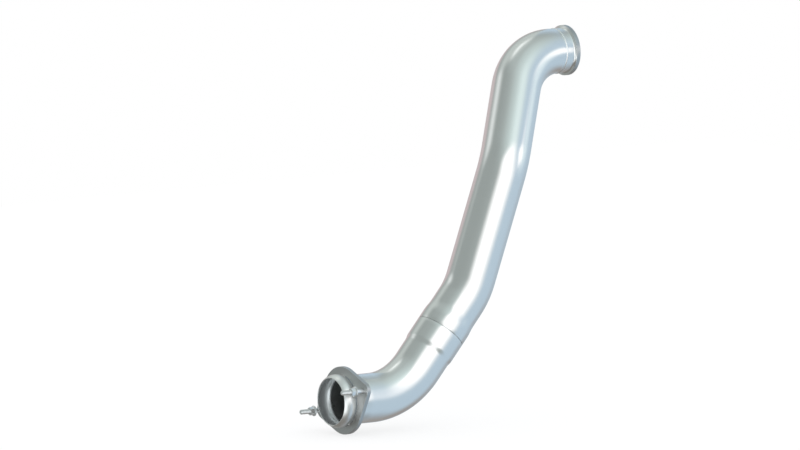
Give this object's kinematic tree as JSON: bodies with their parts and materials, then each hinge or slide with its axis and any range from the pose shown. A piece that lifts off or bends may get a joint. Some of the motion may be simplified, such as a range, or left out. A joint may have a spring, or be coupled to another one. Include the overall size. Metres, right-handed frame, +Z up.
{
  "type": "turbo downpipe",
  "caption": "Bent steel exhaust downpipe with a V-band inlet flange at the top, a slip joint in the middle and a flared ball outlet held by a loose two-bolt flange plate.",
  "frame": {"origin": "centre of the inlet flange's rim, on its outer face", "axes": "+X out of the inlet along its axis, +Z up along the pipe's height, +Y to the left seen from the outlet end"},
  "size_m": [0.6775, 0.2348, 0.7863],
  "materials": {
    "tube_steel": "satin aluminised tube",
    "sleeve_steel": "plain tube",
    "turned_steel": "turned",
    "plate_steel": "plain cut plate",
    "fastener_zinc": "bright zinc"
  },
  "bodies": {
    "pipe": {"upper_pipe": "tube_steel", "lower_elbow": "tube_steel", "coupling_sleeve": "sleeve_steel", "v_band_flange": "turned_steel"},
    "swivel_flange": {"ball_flange_plate": "plate_steel", "flange_bolt_near": "fastener_zinc", "flange_bolt_far": "fastener_zinc", "flange_nut_near": "fastener_zinc", "flange_nut_far": "fastener_zinc"}
  },
  "joints": [
    {"name": "flange_swivel", "type": "hinge", "parent": "pipe", "child": "swivel_flange", "pos_m": [-0.62497, -0.093, -0.66477], "axis": [-1, 0, 0], "continuous": true}
  ]
}
